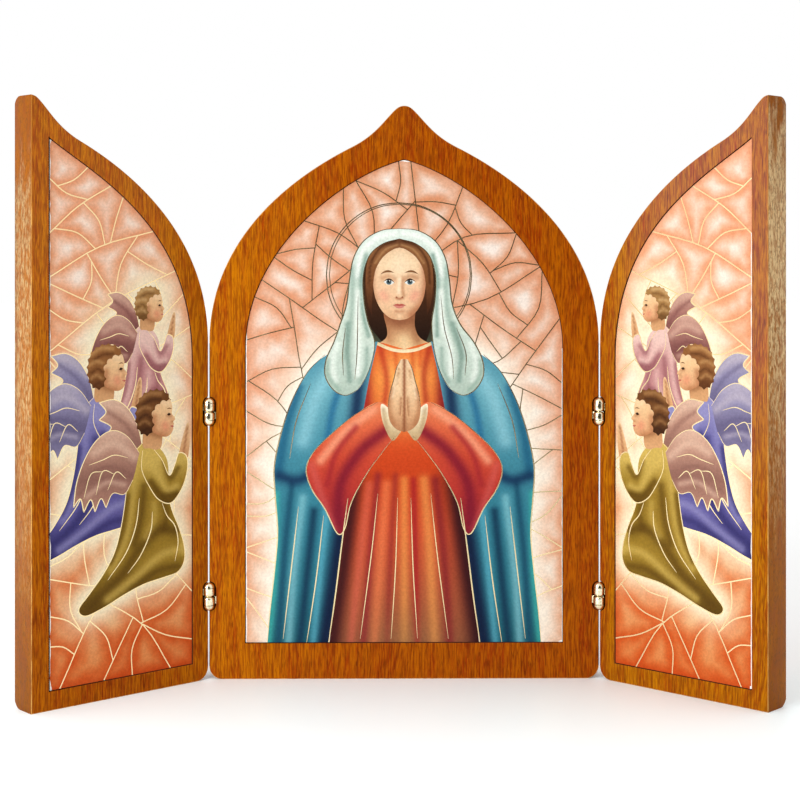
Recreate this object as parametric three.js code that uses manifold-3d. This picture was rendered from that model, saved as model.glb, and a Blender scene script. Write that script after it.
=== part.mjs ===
// Triptych altarpiece: an arched centre board with two half-width wings that fold over it. Each board
// carries a picture sheet in a shallow recess, and four small brass barrel hinges join the boards.
//
// Millimetres. X runs across the altarpiece, Y from the front (-) to the back (+), Z up.
// The origin is the middle of the centre board's underside. The wings stand part-way open.

import * as THREE from 'three';
import { mergeVertices } from 'three/addons/utils/BufferGeometryUtils.js';
import Module from 'manifold-3d';

const wasm = await Module();
wasm.setup();

// ---- Driving dimensions -------------------------------------------------------------------------

const THICKNESS = 15;            // of every board
const HINGE_SPAN = 177;          // between the two hinge axes
const BOARD_GAP = 0.3;           // between neighbouring boards, seen face on
const MIDDLE_GAP = 0.8;          // between the wings' free edges when both are closed
const WING_ANGLE = 41.5;         // each wing's swing forward of flat, in degrees
const AXIS_PROUD = 0.2;          // hinge axis in front of the boards' front faces

// Outline of the arched board: a pointed arch that sweeps up into a small round tip.
const APEX_HEIGHT = 260;
const TIP_RADIUS = 5.4;
const TIP_SLOPE = 41;            // where the round tip meets the hollow shoulder, in degrees
const SHOULDER = { x: 23.7, z: 241.3, slope: 26.7 };   // where the hollow turns into the arch
const HOLLOW_HANDLES = [6.6, 12.7];
const SPRING_HEIGHT = 152.3;     // where the arch meets the straight side
const ARCH_HANDLES = [28.1, 49];
const FOOT_RADIUS = 6;           // bottom corners, seen face on
const ROUND_OVER = 5;            // along the back edges

// Recesses for the picture sheets: each a pointed arch of one curve a side.
const RECESS_DEPTH = 1.9;
const CENTRE_RECESS = { border: 16.2, apex: 235.7, slope: 13.2, spring: 149.8, handles: [26.1, 46.2] };
const WING_RECESS = { border: 8.1, apex: 242.6, slope: 36, spring: 145, handles: [25, 62] };

// Picture sheets.
const PICTURE_SETBACK = 0.7;     // face of the sheet behind the face of the board
const PICTURE_THICKNESS = 0.9;
const PICTURE_PLAY = 0.3;        // between the sheet and the wall of its recess

// Barrel hinges.
const HINGE_HEIGHTS = { upper: 121.3, lower: 37.6 };
const BARREL_RADIUS = 2.65;
const KNUCKLE_LENGTH = 3.7;
const KNUCKLE_EASE = 0.7;        // round rims where the two knuckles meet
const SEAM = 0.2;                // between two knuckles, and between a knuckle and a pin head
const PIN_RADIUS = 0.9;
const BORE_RADIUS = 0.98;
const PIN_HEAD_HEIGHT = 2.5;
const TONGUE_THICKNESS = 0.8;
const TONGUE_REACH = 7.6;        // from the hinge axis into the board
const TONGUE_HEIGHT = 3.2;
const KERF_PLAY = 0.2;           // around a tongue in its saw kerf
const POCKET_WIDTH = 6.5;        // milled slot around the barrel, across both boards
const POCKET_HEIGHT = 13.7;
const POCKET_DEPTH = 2.7;

// Facets.
const ROUND_OVER_STEPS = 5;
const BARREL_FACETS = 24;
const HEAD_STEPS = 5;
const EASE_STEPS = 3;

// ---- Derived sizes ------------------------------------------------------------------------------

const AXIS_X = HINGE_SPAN / 2;
const HALF_WIDTH = (HINGE_SPAN - BOARD_GAP) / 2;
const FRONT = -THICKNESS / 2;
const BACK = THICKNESS / 2;
const AXIS_Y = FRONT - AXIS_PROUD;
const TONGUE_REAR = BARREL_RADIUS - 0.02;        // just inside the barrel's rearmost line
const KNUCKLE_OFFSET = (KNUCKLE_LENGTH + SEAM) / 2;
const BEYOND = APEX_HEIGHT + HINGE_SPAN;         // further out than any board reaches
const RIGHT_ANGLE = Math.PI / 2;

// ---- Materials ----------------------------------------------------------------------------------

const wood = () => new THREE.MeshStandardMaterial({ color: 0xb4641e, roughness: 0.45, metalness: 0 });
const print = () => new THREE.MeshStandardMaterial({ color: 0xe0b49a, roughness: 0.5, metalness: 0 });
const brass = () => new THREE.MeshStandardMaterial({ color: 0xd9c08a, roughness: 0.25, metalness: 1 });

// ---- Solids and meshes --------------------------------------------------------------------------

// A closed geometry as a solid that can be joined and cut.
function toSolid(geometry) {
  const bare = geometry.clone();
  bare.deleteAttribute('normal');
  bare.deleteAttribute('uv');
  const merged = mergeVertices(bare, 1e-4);
  const corners = Array.from(merged.index.array);
  const triangles = [];
  for (let i = 0; i < corners.length; i += 3) {
    const [a, b, c] = corners.slice(i, i + 3);
    if (a !== b && b !== c && c !== a) triangles.push(a, b, c);
  }
  return new wasm.Manifold(new wasm.Mesh({
    numProp: 3,
    vertProperties: new Float32Array(merged.attributes.position.array),
    triVerts: new Uint32Array(triangles),
  }));
}

function toMesh(name, solid, material) {
  const { vertProperties, triVerts, numProp } = solid.getMesh();
  const geometry = new THREE.BufferGeometry();
  geometry.setAttribute('position', new THREE.BufferAttribute(vertProperties, numProp));
  geometry.setIndex(new THREE.BufferAttribute(triVerts, 1));
  geometry.computeVertexNormals();
  const mesh = new THREE.Mesh(geometry, material);
  mesh.name = name;
  return mesh;
}

// A box between two opposite corners, given in any order.
function box(corner, opposite) {
  const middle = corner.map((value, i) => (value + opposite[i]) / 2);
  const size = corner.map((value, i) => Math.abs(opposite[i] - value));
  const geometry = new THREE.BoxGeometry(...size);
  geometry.translate(...middle);
  return toSolid(geometry);
}

// A plate whose outline is drawn face on, in X and Z, between two depths in Y.
function plate(outline, front, back) {
  const geometry = new THREE.ExtrudeGeometry(new THREE.Shape(outline), {
    depth: back - front,
    bevelEnabled: false,
  });
  geometry.rotateX(RIGHT_ANGLE);
  geometry.translate(0, back, 0);
  return toSolid(geometry);
}

// A solid through a row of rings, from front to back, each with the same number of points.
function loft(rings) {
  const count = rings[0].points.length;
  const positions = rings.flatMap(({ y, points }) => points.flatMap((point) => [point.x, y, point.y]));
  const triangles = [];
  for (let r = 0; r < rings.length - 1; r += 1) {
    for (let i = 0; i < count; i += 1) {
      const a = r * count + i;
      const b = r * count + (i + 1) % count;
      triangles.push(a, b, a + count, b, b + count, a + count);
    }
  }
  const last = (rings.length - 1) * count;
  for (const [a, b, c] of THREE.ShapeUtils.triangulateShape(rings[0].points, [])) {
    triangles.push(a, b, c);
    triangles.push(last + a, last + c, last + b);
  }
  const geometry = new THREE.BufferGeometry();
  geometry.setAttribute('position', new THREE.Float32BufferAttribute(positions, 3));
  geometry.setIndex(triangles);
  return toSolid(geometry);
}

// ---- Outlines, drawn face on with X across and Z up ---------------------------------------------

const along = (point, heading, distance) => point.clone().addScaledVector(heading, distance);
const mirrored = (points) => points.map((point) => new THREE.Vector2(-point.x, point.y)).reverse();

// Heading of a line that falls towards +X at an angle below level.
function falling(degrees) {
  const angle = THREE.MathUtils.degToRad(degrees);
  return new THREE.Vector2(Math.cos(angle), -Math.sin(angle));
}

// A curve that leaves one point along a falling heading and arrives at another along a second one.
function sweep(from, fromSlope, to, toSlope, [fromHandle, toHandle]) {
  return new THREE.CubicBezierCurve(
    from,
    along(from, falling(fromSlope), fromHandle),
    along(to, falling(toSlope), -toHandle),
    to,
  );
}

// Right half of the arched board's outline from apex to foot, as points with outward normals.
function halfOutline() {
  const tipTurn = THREE.MathUtils.degToRad(TIP_SLOPE);
  const tip = new THREE.ArcCurve(
    0, APEX_HEIGHT - TIP_RADIUS, TIP_RADIUS, RIGHT_ANGLE, RIGHT_ANGLE - tipTurn, true);
  const shoulder = new THREE.Vector2(SHOULDER.x, SHOULDER.z);
  const spring = new THREE.Vector2(HALF_WIDTH, SPRING_HEIGHT);
  const hollow = sweep(tip.getPoint(1), TIP_SLOPE, shoulder, SHOULDER.slope, HOLLOW_HANDLES);
  const arch = sweep(shoulder, SHOULDER.slope, spring, 90, ARCH_HANDLES);
  const foot = new THREE.ArcCurve(
    HALF_WIDTH - FOOT_RADIUS, FOOT_RADIUS, FOOT_RADIUS, 0, -RIGHT_ANGLE, true);
  const stretches = [
    { curve: tip, first: 0, steps: 4 },
    { curve: hollow, first: 1, steps: 6 },
    { curve: arch, first: 1, steps: 20 },
    { curve: foot, first: 0, steps: 5 },
  ];
  return stretches.flatMap(({ curve, first, steps }) => {
    const places = Array.from({ length: steps + 1 - first }, (_, i) => (i + first) / steps);
    return places.map((t) => {
      const tangent = curve.getTangent(t);
      return { point: curve.getPoint(t), normal: new THREE.Vector2(-tangent.y, tangent.x) };
    });
  });
}

// The whole outline, moved inwards by a distance.
function archedOutline(inset) {
  const right = halfOutline().map(({ point, normal }) => along(point, normal, -inset));
  return [...right, ...mirrored(right.slice(1))];
}

// Right half of a recess, from its top at innerX over the arch and down to the bottom border.
function recessHalf({ border, apex, slope, spring, handles }, innerX) {
  const top = new THREE.Vector2(innerX, apex);
  const side = new THREE.Vector2(HALF_WIDTH - border, spring);
  return [...sweep(top, slope, side, 90, handles).getPoints(18), new THREE.Vector2(side.x, border)];
}

function centreRecess() {
  const right = recessHalf(CENTRE_RECESS, 0);
  return [...right, ...mirrored(right.slice(1))];
}

// A wing's recess, drawn on the half of the arch whose straight side is at +X or -X.
function wingRecess(edge) {
  const innerX = MIDDLE_GAP / 2 + WING_RECESS.border;
  const ring = [...recessHalf(WING_RECESS, innerX), new THREE.Vector2(innerX, WING_RECESS.border)];
  return edge > 0 ? ring : mirrored(ring);
}

// A closed clockwise ring, moved inwards by a distance.
function shrunk(ring, distance) {
  const inward = (from, to) => new THREE.Vector2(to.y - from.y, from.x - to.x).normalize();
  return ring.map((point, i) => {
    const before = inward(ring.at(i - 1), point);
    const after = inward(point, ring[(i + 1) % ring.length]);
    const miter = before.add(after);
    return along(point, miter, 2 * distance / miter.lengthSq());
  });
}

// Milled slot around a barrel: straight sides and round ends.
function pocketOutline(x, height) {
  const radius = POCKET_WIDTH / 2;
  const reach = POCKET_HEIGHT / 2 - radius;
  const slot = new THREE.Path();
  slot.absarc(x, height + reach, radius, 0, Math.PI, false);
  slot.absarc(x, height - reach, radius, Math.PI, 2 * Math.PI, false);
  return slot.getPoints(6);
}

// ---- Boards -------------------------------------------------------------------------------------

// The full arched board, square in front and rounded over along its back edges.
function archedBoard() {
  const rings = [{ y: FRONT, points: archedOutline(0) }];
  for (let i = 0; i <= ROUND_OVER_STEPS; i += 1) {
    const turn = RIGHT_ANGLE * (i / ROUND_OVER_STEPS);
    rings.push({
      y: BACK - ROUND_OVER * (1 - Math.sin(turn)),
      points: archedOutline(ROUND_OVER * (1 - Math.cos(turn))),
    });
  }
  return loft(rings);
}

// The slot and the saw kerf of one hinge in a board whose hinge line is at +X or -X.
function hingeCut(edge, height, knuckleHeight) {
  const axis = edge * AXIS_X;
  const reach = TONGUE_REACH + KERF_PLAY;
  const halfHeight = TONGUE_HEIGHT / 2 + KERF_PLAY;
  const rear = AXIS_Y + TONGUE_REAR + KERF_PLAY;
  const front = rear - TONGUE_THICKNESS - 2 * KERF_PLAY;
  const pocket = plate(pocketOutline(axis, height), FRONT - AXIS_PROUD, FRONT + POCKET_DEPTH);
  const kerf = box(
    [axis, front, knuckleHeight - halfHeight],
    [axis - edge * reach, rear, knuckleHeight + halfHeight],
  );
  return pocket.add(kerf);
}

function recessed(board, recess) {
  return board.subtract(plate(recess, FRONT - AXIS_PROUD, FRONT + RECESS_DEPTH));
}

function centreBoard() {
  let board = recessed(archedBoard(), centreRecess());
  for (const edge of [-1, 1]) {
    for (const height of Object.values(HINGE_HEIGHTS)) {
      board = board.subtract(hingeCut(edge, height, height - KNUCKLE_OFFSET));
    }
  }
  return board;
}

// Half of an arched board, with its hinge line at +X or -X and its free edge cut square.
function wingBoard(edge) {
  const half = box([edge * MIDDLE_GAP / 2, -BEYOND, -BEYOND], [edge * BEYOND, BEYOND, BEYOND]);
  let board = recessed(archedBoard().intersect(half), wingRecess(edge));
  for (const height of Object.values(HINGE_HEIGHTS)) {
    board = board.subtract(hingeCut(edge, height, height + KNUCKLE_OFFSET));
  }
  return board;
}

function pictureSheet(recess) {
  const face = FRONT + PICTURE_SETBACK;
  return plate(shrunk(recess, PICTURE_PLAY), face, face + PICTURE_THICKNESS);
}

// ---- Hinges, drawn about their own axis ---------------------------------------------------------

// A solid of revolution about the vertical axis, from [radius, height] pairs.
function turned(profile) {
  const points = profile.map(([radius, height]) => new THREE.Vector2(radius, height));
  const geometry = new THREE.LatheGeometry(points, BARREL_FACETS);
  geometry.rotateX(RIGHT_ANGLE);
  return toSolid(geometry);
}

// One knuckle with the tongue that holds it in a board; the tongue points away from the edge, and
// the knuckle's round rim faces the other knuckle, above (1) or below (-1) it.
function hingeLeaf(edge, meeting) {
  const half = KNUCKLE_LENGTH / 2;
  const rim = Array.from({ length: EASE_STEPS + 1 }, (_, i) => {
    const turn = RIGHT_ANGLE * (i / EASE_STEPS);
    const radius = BARREL_RADIUS - KNUCKLE_EASE * (1 - Math.cos(turn));
    return [radius, half - KNUCKLE_EASE * (1 - Math.sin(turn))];
  });
  const profile = [
    [BORE_RADIUS, -half],
    [BARREL_RADIUS, -half],
    ...rim,
    [BORE_RADIUS, half],
    [BORE_RADIUS, -half],
  ];
  const wall = profile.map(([radius, height]) => [radius, meeting * height]);
  const knuckle = turned(meeting > 0 ? wall : wall.reverse());
  const tongue = box(
    [0, TONGUE_REAR, -TONGUE_HEIGHT / 2],
    [-edge * TONGUE_REACH, TONGUE_REAR - TONGUE_THICKNESS, TONGUE_HEIGHT / 2],
  );
  return knuckle.add(tongue);
}

// Pin through both knuckles, with a domed head above and below.
function hingePin() {
  const shank = KNUCKLE_LENGTH + 1.5 * SEAM;
  const head = Array.from({ length: HEAD_STEPS }, (_, i) => {
    const turn = RIGHT_ANGLE * (i / HEAD_STEPS);
    return [BARREL_RADIUS * Math.cos(turn), shank + PIN_HEAD_HEIGHT * Math.sin(turn)];
  });
  const upper = [[PIN_RADIUS, shank], ...head, [0, shank + PIN_HEAD_HEIGHT]];
  const lower = upper.map(([radius, height]) => [radius, -height]).reverse();
  return turned([...lower, ...upper]);
}

// ---- Assembly -----------------------------------------------------------------------------------

const altarpiece = new THREE.Group();
altarpiece.add(toMesh('centre_board', centreBoard(), wood()));
altarpiece.add(toMesh('centre_picture', pictureSheet(centreRecess()), print()));

for (const [side, sign] of Object.entries({ left: -1, right: 1 })) {
  // A wing's hinge line is on the side that faces the centre board.
  const wingEdge = -sign;
  const wing = new THREE.Group();
  wing.position.set(sign * AXIS_X, AXIS_Y, 0);
  wing.rotation.z = wingEdge * THREE.MathUtils.degToRad(WING_ANGLE);
  altarpiece.add(wing);

  const board = toMesh(`${side}_wing_board`, wingBoard(wingEdge), wood());
  const picture = toMesh(`${side}_wing_picture`, pictureSheet(wingRecess(wingEdge)), print());
  for (const piece of [board, picture]) {
    piece.position.set(sign * AXIS_X, -AXIS_Y, 0);
    wing.add(piece);
  }

  for (const [level, height] of Object.entries(HINGE_HEIGHTS)) {
    const centreLeaf = toMesh(`${side}_${level}_hinge_centre_leaf`, hingeLeaf(sign, 1), brass());
    centreLeaf.position.set(sign * AXIS_X, AXIS_Y, height - KNUCKLE_OFFSET);
    altarpiece.add(centreLeaf);

    const pin = toMesh(`${side}_${level}_hinge_pin`, hingePin(), brass());
    pin.position.set(sign * AXIS_X, AXIS_Y, height);
    altarpiece.add(pin);

    const wingLeaf = toMesh(`${side}_${level}_hinge_wing_leaf`, hingeLeaf(wingEdge, -1), brass());
    wingLeaf.position.set(0, 0, height + KNUCKLE_OFFSET);
    wing.add(wingLeaf);
  }
}

export default altarpiece;
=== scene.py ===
"""Looks of a small folding triptych: veneered boards, printed pictures with gold lines, brass hinges.

Shapes are worked out in millimetres and written to meshes in metres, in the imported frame's axes.
"""

import math

import bmesh
import bpy
import numpy as np
from mathutils import Matrix, Vector
from mathutils.geometry import delaunay_2d_cdt


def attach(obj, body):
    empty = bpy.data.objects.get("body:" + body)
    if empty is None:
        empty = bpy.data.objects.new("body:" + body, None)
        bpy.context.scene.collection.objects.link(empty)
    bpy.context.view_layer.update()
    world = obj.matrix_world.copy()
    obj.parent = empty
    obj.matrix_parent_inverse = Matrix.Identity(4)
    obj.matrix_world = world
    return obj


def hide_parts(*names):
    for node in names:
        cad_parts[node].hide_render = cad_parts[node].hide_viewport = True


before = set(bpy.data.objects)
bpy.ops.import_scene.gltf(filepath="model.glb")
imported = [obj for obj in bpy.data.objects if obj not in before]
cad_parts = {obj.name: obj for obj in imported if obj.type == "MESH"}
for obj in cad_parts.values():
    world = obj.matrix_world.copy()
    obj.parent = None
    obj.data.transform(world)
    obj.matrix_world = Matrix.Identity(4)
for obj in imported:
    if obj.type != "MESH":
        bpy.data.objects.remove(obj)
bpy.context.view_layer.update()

MM = 0.001

# ---- Sizes in millimetres, angles in degrees ----------------------------------------------------

THICKNESS = 15.0
HINGE_SPAN = 177.0
BOARD_GAP = 0.3
MIDDLE_GAP = 0.8
WING_ANGLE = 41.5
AXIS_PROUD = 0.2

APEX_HEIGHT = 260.0
TIP_RADIUS = 5.4
TIP_SLOPE = 41.0
SHOULDER = (23.7, 241.3, 26.7)
HOLLOW_HANDLES = (6.6, 12.7)
SPRING_HEIGHT = 152.3
ARCH_HANDLES = (28.1, 49.0)
FOOT_RADIUS = 6.0
ROUND_OVER = 5.0
ROUND_STEPS = 8
ARRIS = 0.3
ARRIS_STEPS = 3

RECESS_DEPTH = 1.9
RECESS_ARRIS = 0.2
CENTRE_RECESS = dict(border=16.2, apex=235.7, slope=13.2, spring=149.8, handles=(26.1, 46.2))
WING_RECESS = dict(border=8.1, apex=242.6, slope=36.0, spring=145.0, handles=(25.0, 62.0))
PICTURE_SETBACK = 0.7
PICTURE_THICKNESS = 0.9
PICTURE_PLAY = 0.3

HINGE_HEIGHTS = {"upper": 121.3, "lower": 37.6}
BARREL_RADIUS = 2.65
KNUCKLE_LENGTH = 3.7
MEETING_EASE = 1.0
OUTER_EASE = 0.15
BARREL_FACETS = 48
SEAM = 0.2
PIN_RADIUS = 0.9
PIN_PLAY = 0.08
PIN_HEAD_HEIGHT = 2.5
TONGUE_THICKNESS = 0.8
TONGUE_INSET = 0.02
TONGUE_REACH = 7.6
TONGUE_HEIGHT = 3.2
POCKET_WIDTH = 6.5
POCKET_HEIGHT = 13.7
POCKET_DEPTH = 2.7
POCKET_LIP = 0.3
POCKET_TAPER = 1.6
POCKET_OVERCUT = 2.0

MERGE = 1e-5
NEAR = 0.01
SLOT_MARGIN = 0.05
SHARP_ANGLE = 40.0
UPRIGHT = 0.999

FOIL_WIDTH = 0.42
FOIL_SCALE = 1.2
LEAD_PITCH = 1.2
PANE_FADE = 7.0
FRAY_PITCH = 2.5
SHEET_PITCH = 1.1
ROW_RATIO = 0.87
EDGE_CLEAR = 0.3
SHORTEST = 0.02
CUT_MERGE = 1e-4
FACE_PITCH = 0.55
FACE_REGION = ((-15, 160), (15, 204))
LEAD_WIDTHS = {"centre": 0.48, "wing": 0.52}
PANE_AREAS = {"centre": 310, "wing": 330}
NECKLINE = 150
WRISTS = 111
HALO = ((-2.4, 183, 33, 0.5), (-2.0, 183.4, 32, 0.4))

AXIS_X = HINGE_SPAN / 2
HALF_WIDTH = (HINGE_SPAN - BOARD_GAP) / 2
FRONT = -THICKNESS / 2
AXIS_Y = FRONT - AXIS_PROUD
SIDES = {"left": -1, "right": 1}
UNTURNED = Matrix.Identity(4)

# ---- Studio, in metres --------------------------------------------------------------------------

FLOOR_SPAN = 3.0
FLOOR_FRONT, FLOOR_REAR = -0.6, 5.0
KEY_PLACE, KEY_TARGET = (-0.52, -0.62, 0.38), (0, 0, 0.12)
KEY_SIZE, KEY_POWER = (0.4, 0.6), 5.5
OPENING_EDGE, OPENING_HEART, OPENING_LEVEL = 0.70, 0.93, 0.06
CAMERA_PLACE, CAMERA_HEADING = (0.0212, -0.7908, 0.1969), -0.52
LENS, SENSOR, SHIFT = 77.67, 36, (-0.0833, -0.194)


# ---- Outlines, face on: X across and Z up -------------------------------------------------------

def falling(degrees):
    """Heading of a line that falls towards +X at an angle below level."""
    angle = math.radians(degrees)
    return np.array([math.cos(angle), -math.sin(angle)])


def sweep(start, start_slope, end, end_slope, handles, steps):
    """Points and tangents of a curve between two points, leaving and arriving on falling headings."""
    p0, p3 = np.array(start, float), np.array(end, float)
    p1 = p0 + falling(start_slope) * handles[0]
    p2 = p3 - falling(end_slope) * handles[1]
    t = np.linspace(0, 1, steps + 1)[:, None]
    points = (1 - t) ** 3 * p0 + 3 * (1 - t) ** 2 * t * p1 + 3 * (1 - t) * t**2 * p2 + t**3 * p3
    tangents = (1 - t) ** 2 * (p1 - p0) + 2 * (1 - t) * t * (p2 - p1) + t**2 * (p3 - p2)
    return points, tangents


def arc(centre, radius, start, end, steps):
    """Points and tangents of an arc between two angles in degrees, run clockwise."""
    a = np.radians(np.linspace(start, end, steps + 1))
    points = np.array(centre) + radius * np.column_stack([np.cos(a), np.sin(a)])
    return points, np.column_stack([np.sin(a), -np.cos(a)])


def half_outline():
    """Right half of the arched board from apex to foot: points and outward normals."""
    x, z, slope = SHOULDER
    tip = arc((0, APEX_HEIGHT - TIP_RADIUS), TIP_RADIUS, 90, 90 - TIP_SLOPE, 10)
    hollow = sweep(tip[0][-1], TIP_SLOPE, (x, z), slope, HOLLOW_HANDLES, 16)
    arch = sweep((x, z), slope, (HALF_WIDTH, SPRING_HEIGHT), 90, ARCH_HANDLES, 60)
    foot = arc((HALF_WIDTH - FOOT_RADIUS, FOOT_RADIUS), FOOT_RADIUS, 0, -90, 12)
    points = np.vstack([tip[0], hollow[0][1:], arch[0][1:], foot[0]])
    tangents = np.vstack([tip[1], hollow[1][1:], arch[1][1:], foot[1]])
    tangents /= np.linalg.norm(tangents, axis=1)[:, None]
    return points, np.column_stack([-tangents[:, 1], tangents[:, 0]])


def mirrored(points):
    """Left-right mirror image, kept in clockwise order."""
    return (points * [-1, 1])[::-1]


def full_ring(inset):
    """The whole arched outline, moved inwards."""
    points, normals = half_outline()
    right = points - inset * normals
    return np.vstack([right, mirrored(right[1:])])


def half_ring(inset, cut_inset):
    """The outline's right half, moved inwards, closed by a straight cut beside the middle line."""
    points, normals = half_outline()
    ring = points - inset * normals
    cut = MIDDLE_GAP / 2 + cut_inset
    first = int(np.argmax(ring[:, 0] >= cut))
    share = (cut - ring[first - 1, 0]) / (ring[first, 0] - ring[first - 1, 0])
    crossing = ring[first - 1] + share * (ring[first] - ring[first - 1])
    ring[:first] = crossing
    return np.vstack([ring, [cut, inset]])


def shrunk(ring, distance):
    """A closed clockwise ring, moved inwards with mitred corners."""
    ahead = np.roll(ring, -1, axis=0) - ring
    ahead /= np.linalg.norm(ahead, axis=1)[:, None]
    inward = np.column_stack([ahead[:, 1], -ahead[:, 0]])
    miter = inward + np.roll(inward, 1, axis=0)
    return ring + 2 * distance * miter / (miter**2).sum(axis=1)[:, None]


def recess_half(recess, inner_x):
    side = (HALF_WIDTH - recess["border"], recess["spring"])
    top = (inner_x, recess["apex"])
    points, _ = sweep(top, recess["slope"], side, 90, recess["handles"], 48)
    return np.vstack([points, [side[0], recess["border"]]])


def centre_recess():
    right = recess_half(CENTRE_RECESS, 0)
    return np.vstack([right, mirrored(right[1:])])


def wing_recess():
    inner_x = MIDDLE_GAP / 2 + WING_RECESS["border"]
    return np.vstack([recess_half(WING_RECESS, inner_x), [inner_x, WING_RECESS["border"]]])


# ---- Mesh building ------------------------------------------------------------------------------

def link(name, data):
    piece = bpy.data.objects.new(name, data)
    bpy.context.scene.collection.objects.link(piece)
    return piece


def finish_mesh(name, bm, *materials):
    """An object from a bmesh, with its faces turned outwards."""
    bmesh.ops.recalc_face_normals(bm, faces=bm.faces)
    mesh = bpy.data.meshes.new(name)
    bm.to_mesh(mesh)
    bm.free()
    for material in materials:
        mesh.materials.append(material)
    return link(name, mesh)


def closed(ring):
    return np.vstack([ring, ring[:1]])


def add_ring(bm, ring, y):
    return [bm.verts.new((x, y, z)) for x, z in ring]


def add_skirt(bm, front, back, smooth):
    """Faces between two rings with equal counts."""
    count = len(front)
    for i in range(count):
        j = (i + 1) % count
        bm.faces.new((front[i], front[j], back[j], back[i])).smooth = smooth


def add_plane_between(bm, outer, inner):
    """Flat faces between an outer and an inner ring that lie in one plane."""
    rings = [[Vector((v.co.x, v.co.z)) for v in ring] for ring in (outer, inner)]
    count = len(outer)
    coords = rings[0] + rings[1]
    faces = [list(range(count))[::-1], list(range(count, len(coords)))[::-1]]
    _, _, triangles, origins, _, covers = delaunay_2d_cdt(coords, [], faces, 1, MERGE)
    made = outer + inner
    for triangle, cover in zip(triangles, covers):
        if cover == [0]:
            bm.faces.new([made[origins[i][0]] for i in triangle])


def board_mesh(name, rings, recess, hinge_cuts):
    """A board from outline rings at growing depths, with a recess in front and slots for barrels."""
    bm = bmesh.new()
    made = [add_ring(bm, ring, y) for y, ring in rings]
    for front, back in zip(made, made[1:]):
        add_skirt(bm, front, back, True)
    rim = add_ring(bm, shrunk(recess, -RECESS_ARRIS), FRONT)
    lip = add_ring(bm, recess, FRONT + RECESS_ARRIS)
    floor = add_ring(bm, recess, FRONT + RECESS_DEPTH)
    add_plane_between(bm, made[0], rim)
    add_skirt(bm, lip, rim, True)
    add_skirt(bm, floor, lip, True)
    bm.faces.new(floor)
    bm.faces.new(made[-1])
    bmesh.ops.remove_doubles(bm, verts=bm.verts, dist=MERGE)
    bmesh.ops.dissolve_degenerate(bm, edges=bm.edges, dist=MERGE)
    piece = finish_mesh(name, bm, *BOARD_FINISHES)
    cutters = [pocket_cutter(x, height) for x, height in hinge_cuts]
    for cutter in cutters:
        cut = piece.modifiers.new("slot", "BOOLEAN")
        cut.operation = "DIFFERENCE"
        cut.solver = "EXACT"
        cut.object = cutter
    apply_modifiers(piece)
    for cutter in cutters:
        bpy.data.objects.remove(cutter)
    finish_faces(piece, recess, hinge_cuts)
    return piece


def finish_faces(piece, recess, hinge_cuts):
    """Veneer in front and behind, edge banding, bare arrises, and painted shade in slots, recess and hinge
    gaps.
    """
    around = shrunk(recess, -2 * RECESS_ARRIS)
    for face in piece.data.polygons:
        x, y, z = face.center
        depth = y - FRONT
        flat = abs(face.normal.y) > UPRIGHT
        near_slot = any(abs(x - cx) < POCKET_WIDTH / 2 + SLOT_MARGIN
                        and abs(z - cz) < POCKET_HEIGHT / 2 + SLOT_MARGIN for cx, cz in hinge_cuts)
        in_recess = inside(np.array([[x, z]]), around)[0]
        if depth < NEAR and flat:
            face.material_index = VENEER
        # Slot walls: the dark core as painted shade.
        elif depth < POCKET_DEPTH + NEAR and near_slot:
            face.material_index = PAINTED_SHADE_CORE
        # Recess walls below their arris: the dark core as painted shade.
        elif in_recess and depth < RECESS_DEPTH + NEAR:
            face.material_index = VENEER if depth < RECESS_ARRIS else PAINTED_SHADE_CORE
        elif depth < ARRIS + NEAR:
            # Arrises beside the hinge gaps: the dark core as painted shade.
            beside_hinges = abs(x) > HALF_WIDTH - ARRIS and FOOT_RADIUS < z < SPRING_HEIGHT
            face.material_index = PAINTED_SHADE_CORE if beside_hinges else BARE
        elif flat:
            face.material_index = VENEER
        else:
            face.material_index = BAND


def apply_modifiers(piece):
    graph = bpy.context.evaluated_depsgraph_get()
    done = bpy.data.meshes.new_from_object(piece.evaluated_get(graph))
    old = piece.data
    piece.modifiers.clear()
    piece.data = done
    bpy.data.meshes.remove(old)


def pocket_cutter(x, height):
    """The milled slot around a barrel: straight sides, and round ends that rise to the face."""
    radius = POCKET_WIDTH / 2
    bm = bmesh.new()
    rings = []
    for depth, trim in ((-POCKET_OVERCUT, 0), (POCKET_LIP, 0), (POCKET_DEPTH, POCKET_TAPER)):
        reach = POCKET_HEIGHT / 2 - radius - trim
        upper, _ = arc((x, height + reach), radius, 180, 0, 20)
        lower, _ = arc((x, height - reach), radius, 0, -180, 20)
        rings.append(add_ring(bm, np.vstack([upper, lower]), FRONT + depth))
    for front, back in zip(rings, rings[1:]):
        add_skirt(bm, front, back, True)
    bm.faces.new(rings[0])
    bm.faces.new(rings[-1])
    return finish_mesh("pocket", bm)


def settle(piece, turn):
    """Keeps the board's own coordinates as an attribute and puts the mesh in its place, in metres."""
    mesh = piece.data
    flat = np.empty(len(mesh.vertices) * 3, np.float32)
    mesh.vertices.foreach_get("co", flat)
    mesh.attributes.new("flat", "FLOAT_VECTOR", "POINT").data.foreach_set("vector", flat * MM)
    mesh.transform(Matrix.Scale(MM, 4) @ turn)
    mesh.update()


def hinge_axis(sign):
    """From the hinge line's own coordinates to its place on the centre board."""
    return Matrix.Translation((sign * AXIS_X, AXIS_Y, 0))


def wing_swing(sign):
    return Matrix.Rotation(-sign * math.radians(WING_ANGLE), 4, "Z")


def wing_turn(sign):
    """From a wing's own coordinates, as half of an arch, to its place beside the centre board."""
    return hinge_axis(sign) @ wing_swing(sign) @ Matrix.Translation((sign * AXIS_X, -AXIS_Y, 0))


# ---- Boards -------------------------------------------------------------------------------------

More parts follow.
